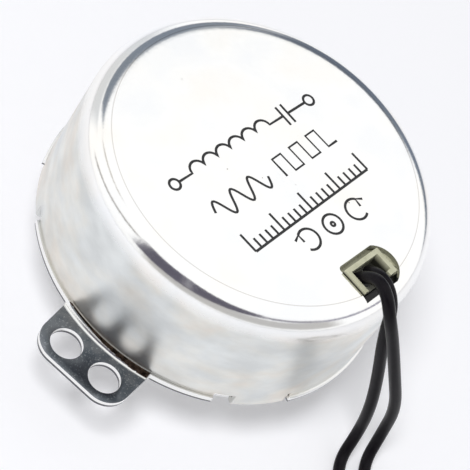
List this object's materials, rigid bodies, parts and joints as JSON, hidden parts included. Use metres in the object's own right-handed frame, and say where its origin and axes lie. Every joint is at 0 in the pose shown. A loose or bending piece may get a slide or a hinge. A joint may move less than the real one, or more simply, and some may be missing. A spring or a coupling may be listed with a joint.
{
  "type": "geared synchronous motor",
  "caption": "Small round geared AC synchronous motor in a crimped steel can, with two mounting ears, a flatted output shaft and a pair of black leads.",
  "frame": {"origin": "centre of the four mounting holes, on the undersides of the two ears and on the shaft's axis", "axes": "+Z along the shaft's axis towards the rear face with the leads, +X towards one ear"},
  "size_m": [0.0648, 0.0924, 0.0347],
  "materials": {
    "zinc_plated_steel": "bright zinc plate with a faint passivation tint",
    "zinc_plated_steel_ears": "bright zinc plate, stamped and half-sheared",
    "plain_steel": "turned or stamped steel, oiled",
    "spring_steel": "blackened spring steel",
    "bronze": "oil-filled sintered bronze",
    "gear_brass": "hobbed brass",
    "acetal": "moulded acetal",
    "nylon": "punched nylon",
    "ferrite": "ground barium ferrite",
    "bobbin_nylon": "moulded nylon, olive-cream",
    "enamelled_wire": "close-wound enamelled copper wire, taken as one ring",
    "yellow_tape": "polyester tape",
    "lead_pvc": "satin near-black PVC insulation",
    "tinned_wire": "tinned copper"
  },
  "bodies": {
    "casing": {"can": "zinc_plated_steel", "mounting_plate": "zinc_plated_steel_ears", "spacer_posts": "plain_steel", "gear_base_plate": "plain_steel", "output_bushing": "bronze", "gear_pin_1": "plain_steel", "gear_pin_2": "plain_steel", "gear_pin_3": "plain_steel", "thrust_washer": "nylon", "rotor_pin": "plain_steel", "rotor_pin_seat": "bronze", "rotor_washer": "nylon", "rotor_spacer": "nylon", "front_pole_ring": "zinc_plated_steel", "rear_pole_ring": "zinc_plated_steel", "bobbin": "bobbin_nylon", "winding": "enamelled_wire", "winding_tape": "yellow_tape", "terminal_pins": "tinned_wire", "solder_joints": "tinned_wire", "lead_a": "lead_pvc", "lead_b": "lead_pvc", "lead_a_coil": "lead_pvc", "lead_b_coil": "lead_pvc", "lead_ends": "tinned_wire"},
    "rotor": {"rotor_hub": "acetal", "ring_magnet": "ferrite"},
    "first_gear": {"first_gear_wheel": "acetal", "first_gear_pinion": "gear_brass"},
    "second_gear": {"second_gear_wheel": "acetal", "second_gear_pinion": "gear_brass"},
    "third_gear": {"third_gear_wheel": "gear_brass", "third_gear_pinion": "plain_steel"},
    "output": {"output_shaft": "plain_steel", "output_gear": "gear_brass", "shaft_circlip": "spring_steel"}
  },
  "joints": [
    {"name": "rotor_spin", "type": "hinge", "parent": "casing", "child": "rotor", "pos_m": [0, 0, 0.005], "axis": [0, 0, 1], "continuous": true},
    {"name": "output_spin", "type": "hinge", "parent": "casing", "child": "output", "pos_m": [0, 0, 0.005], "axis": [0, 0, 1], "continuous": true},
    {"name": "first_gear_spin", "type": "hinge", "parent": "casing", "child": "first_gear", "pos_m": [0, 0.0084, 0.005], "axis": [0, 0, 1], "continuous": true},
    {"name": "second_gear_spin", "type": "hinge", "parent": "casing", "child": "second_gear", "pos_m": [0.0064, 0.00679, 0.005], "axis": [0, 0, 1], "continuous": true},
    {"name": "third_gear_spin", "type": "hinge", "parent": "casing", "child": "third_gear", "pos_m": [0.00812, -0.00143, 0.005], "axis": [0, 0, 1], "continuous": true}
  ],
  "couplings": [
    {"joint": "first_gear_spin", "follows": "rotor_spin", "ratio": -0.3125},
    {"joint": "second_gear_spin", "follows": "rotor_spin", "ratio": 0.1},
    {"joint": "third_gear_spin", "follows": "rotor_spin", "ratio": -0.03125},
    {"joint": "output_spin", "follows": "rotor_spin", "ratio": 0.01}
  ]
}
